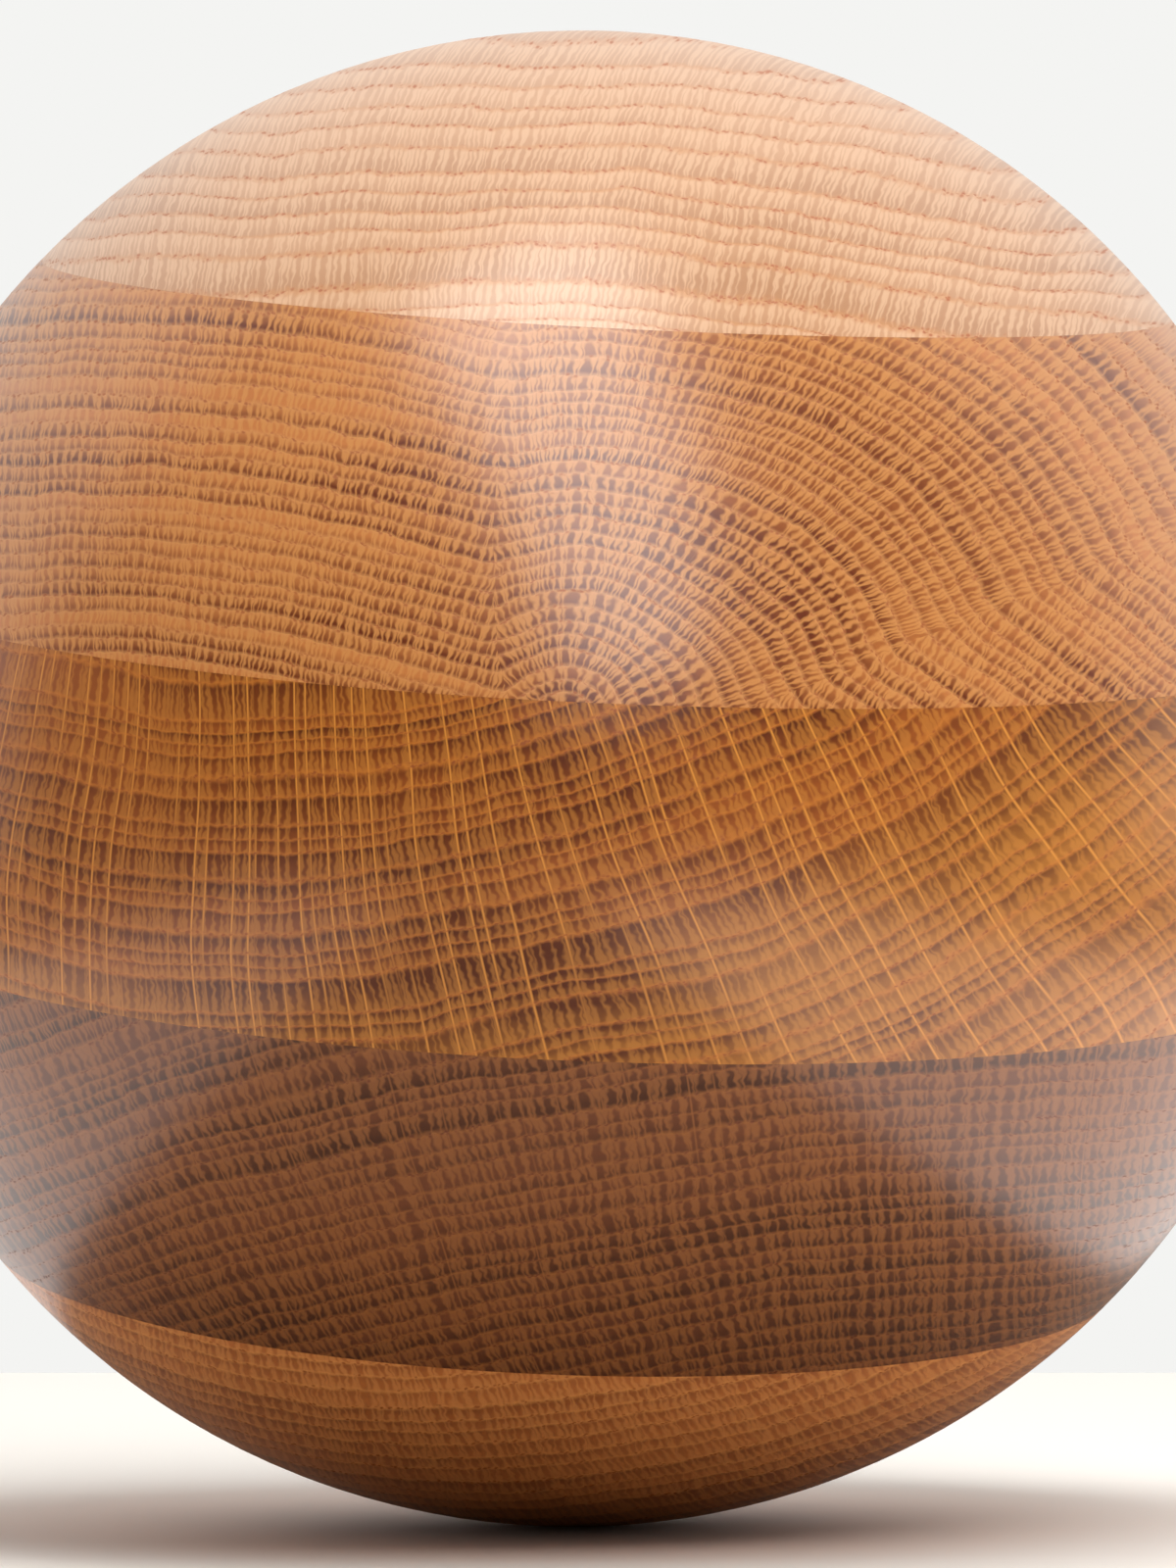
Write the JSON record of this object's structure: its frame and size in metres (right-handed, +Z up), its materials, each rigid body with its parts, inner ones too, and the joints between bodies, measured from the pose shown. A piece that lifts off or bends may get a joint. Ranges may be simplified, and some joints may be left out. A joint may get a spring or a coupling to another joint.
{
  "type": "wooden egg sculpture",
  "caption": "Large turned hardwood egg of thick boards glued face to face, lying on its side, with growth rings and rays over its rounded end and a smooth oiled finish.",
  "frame": {"origin": "on the table, under the middle of the egg as it lies on its side", "axes": "+Z up; the long axis runs along Y, with the pointed end towards -Y and a few degrees lower; +X to the right as the pointed end is looked at"},
  "size_m": [0.1004, 0.1304, 0.1009],
  "materials": {
    "bottom_board_oak": "oiled and rubbed smooth, satin",
    "lower_board_oak": "oiled and rubbed smooth, satin",
    "middle_board_oak": "oiled and rubbed smooth, satin",
    "upper_board_oak": "oiled and rubbed smooth, satin",
    "top_board_oak": "oiled and rubbed smooth, satin"
  },
  "bodies": {
    "root": {"bottom_board": "bottom_board_oak", "lower_board": "lower_board_oak", "middle_board": "middle_board_oak", "upper_board": "upper_board_oak", "top_board": "top_board_oak"}
  },
  "joints": []
}
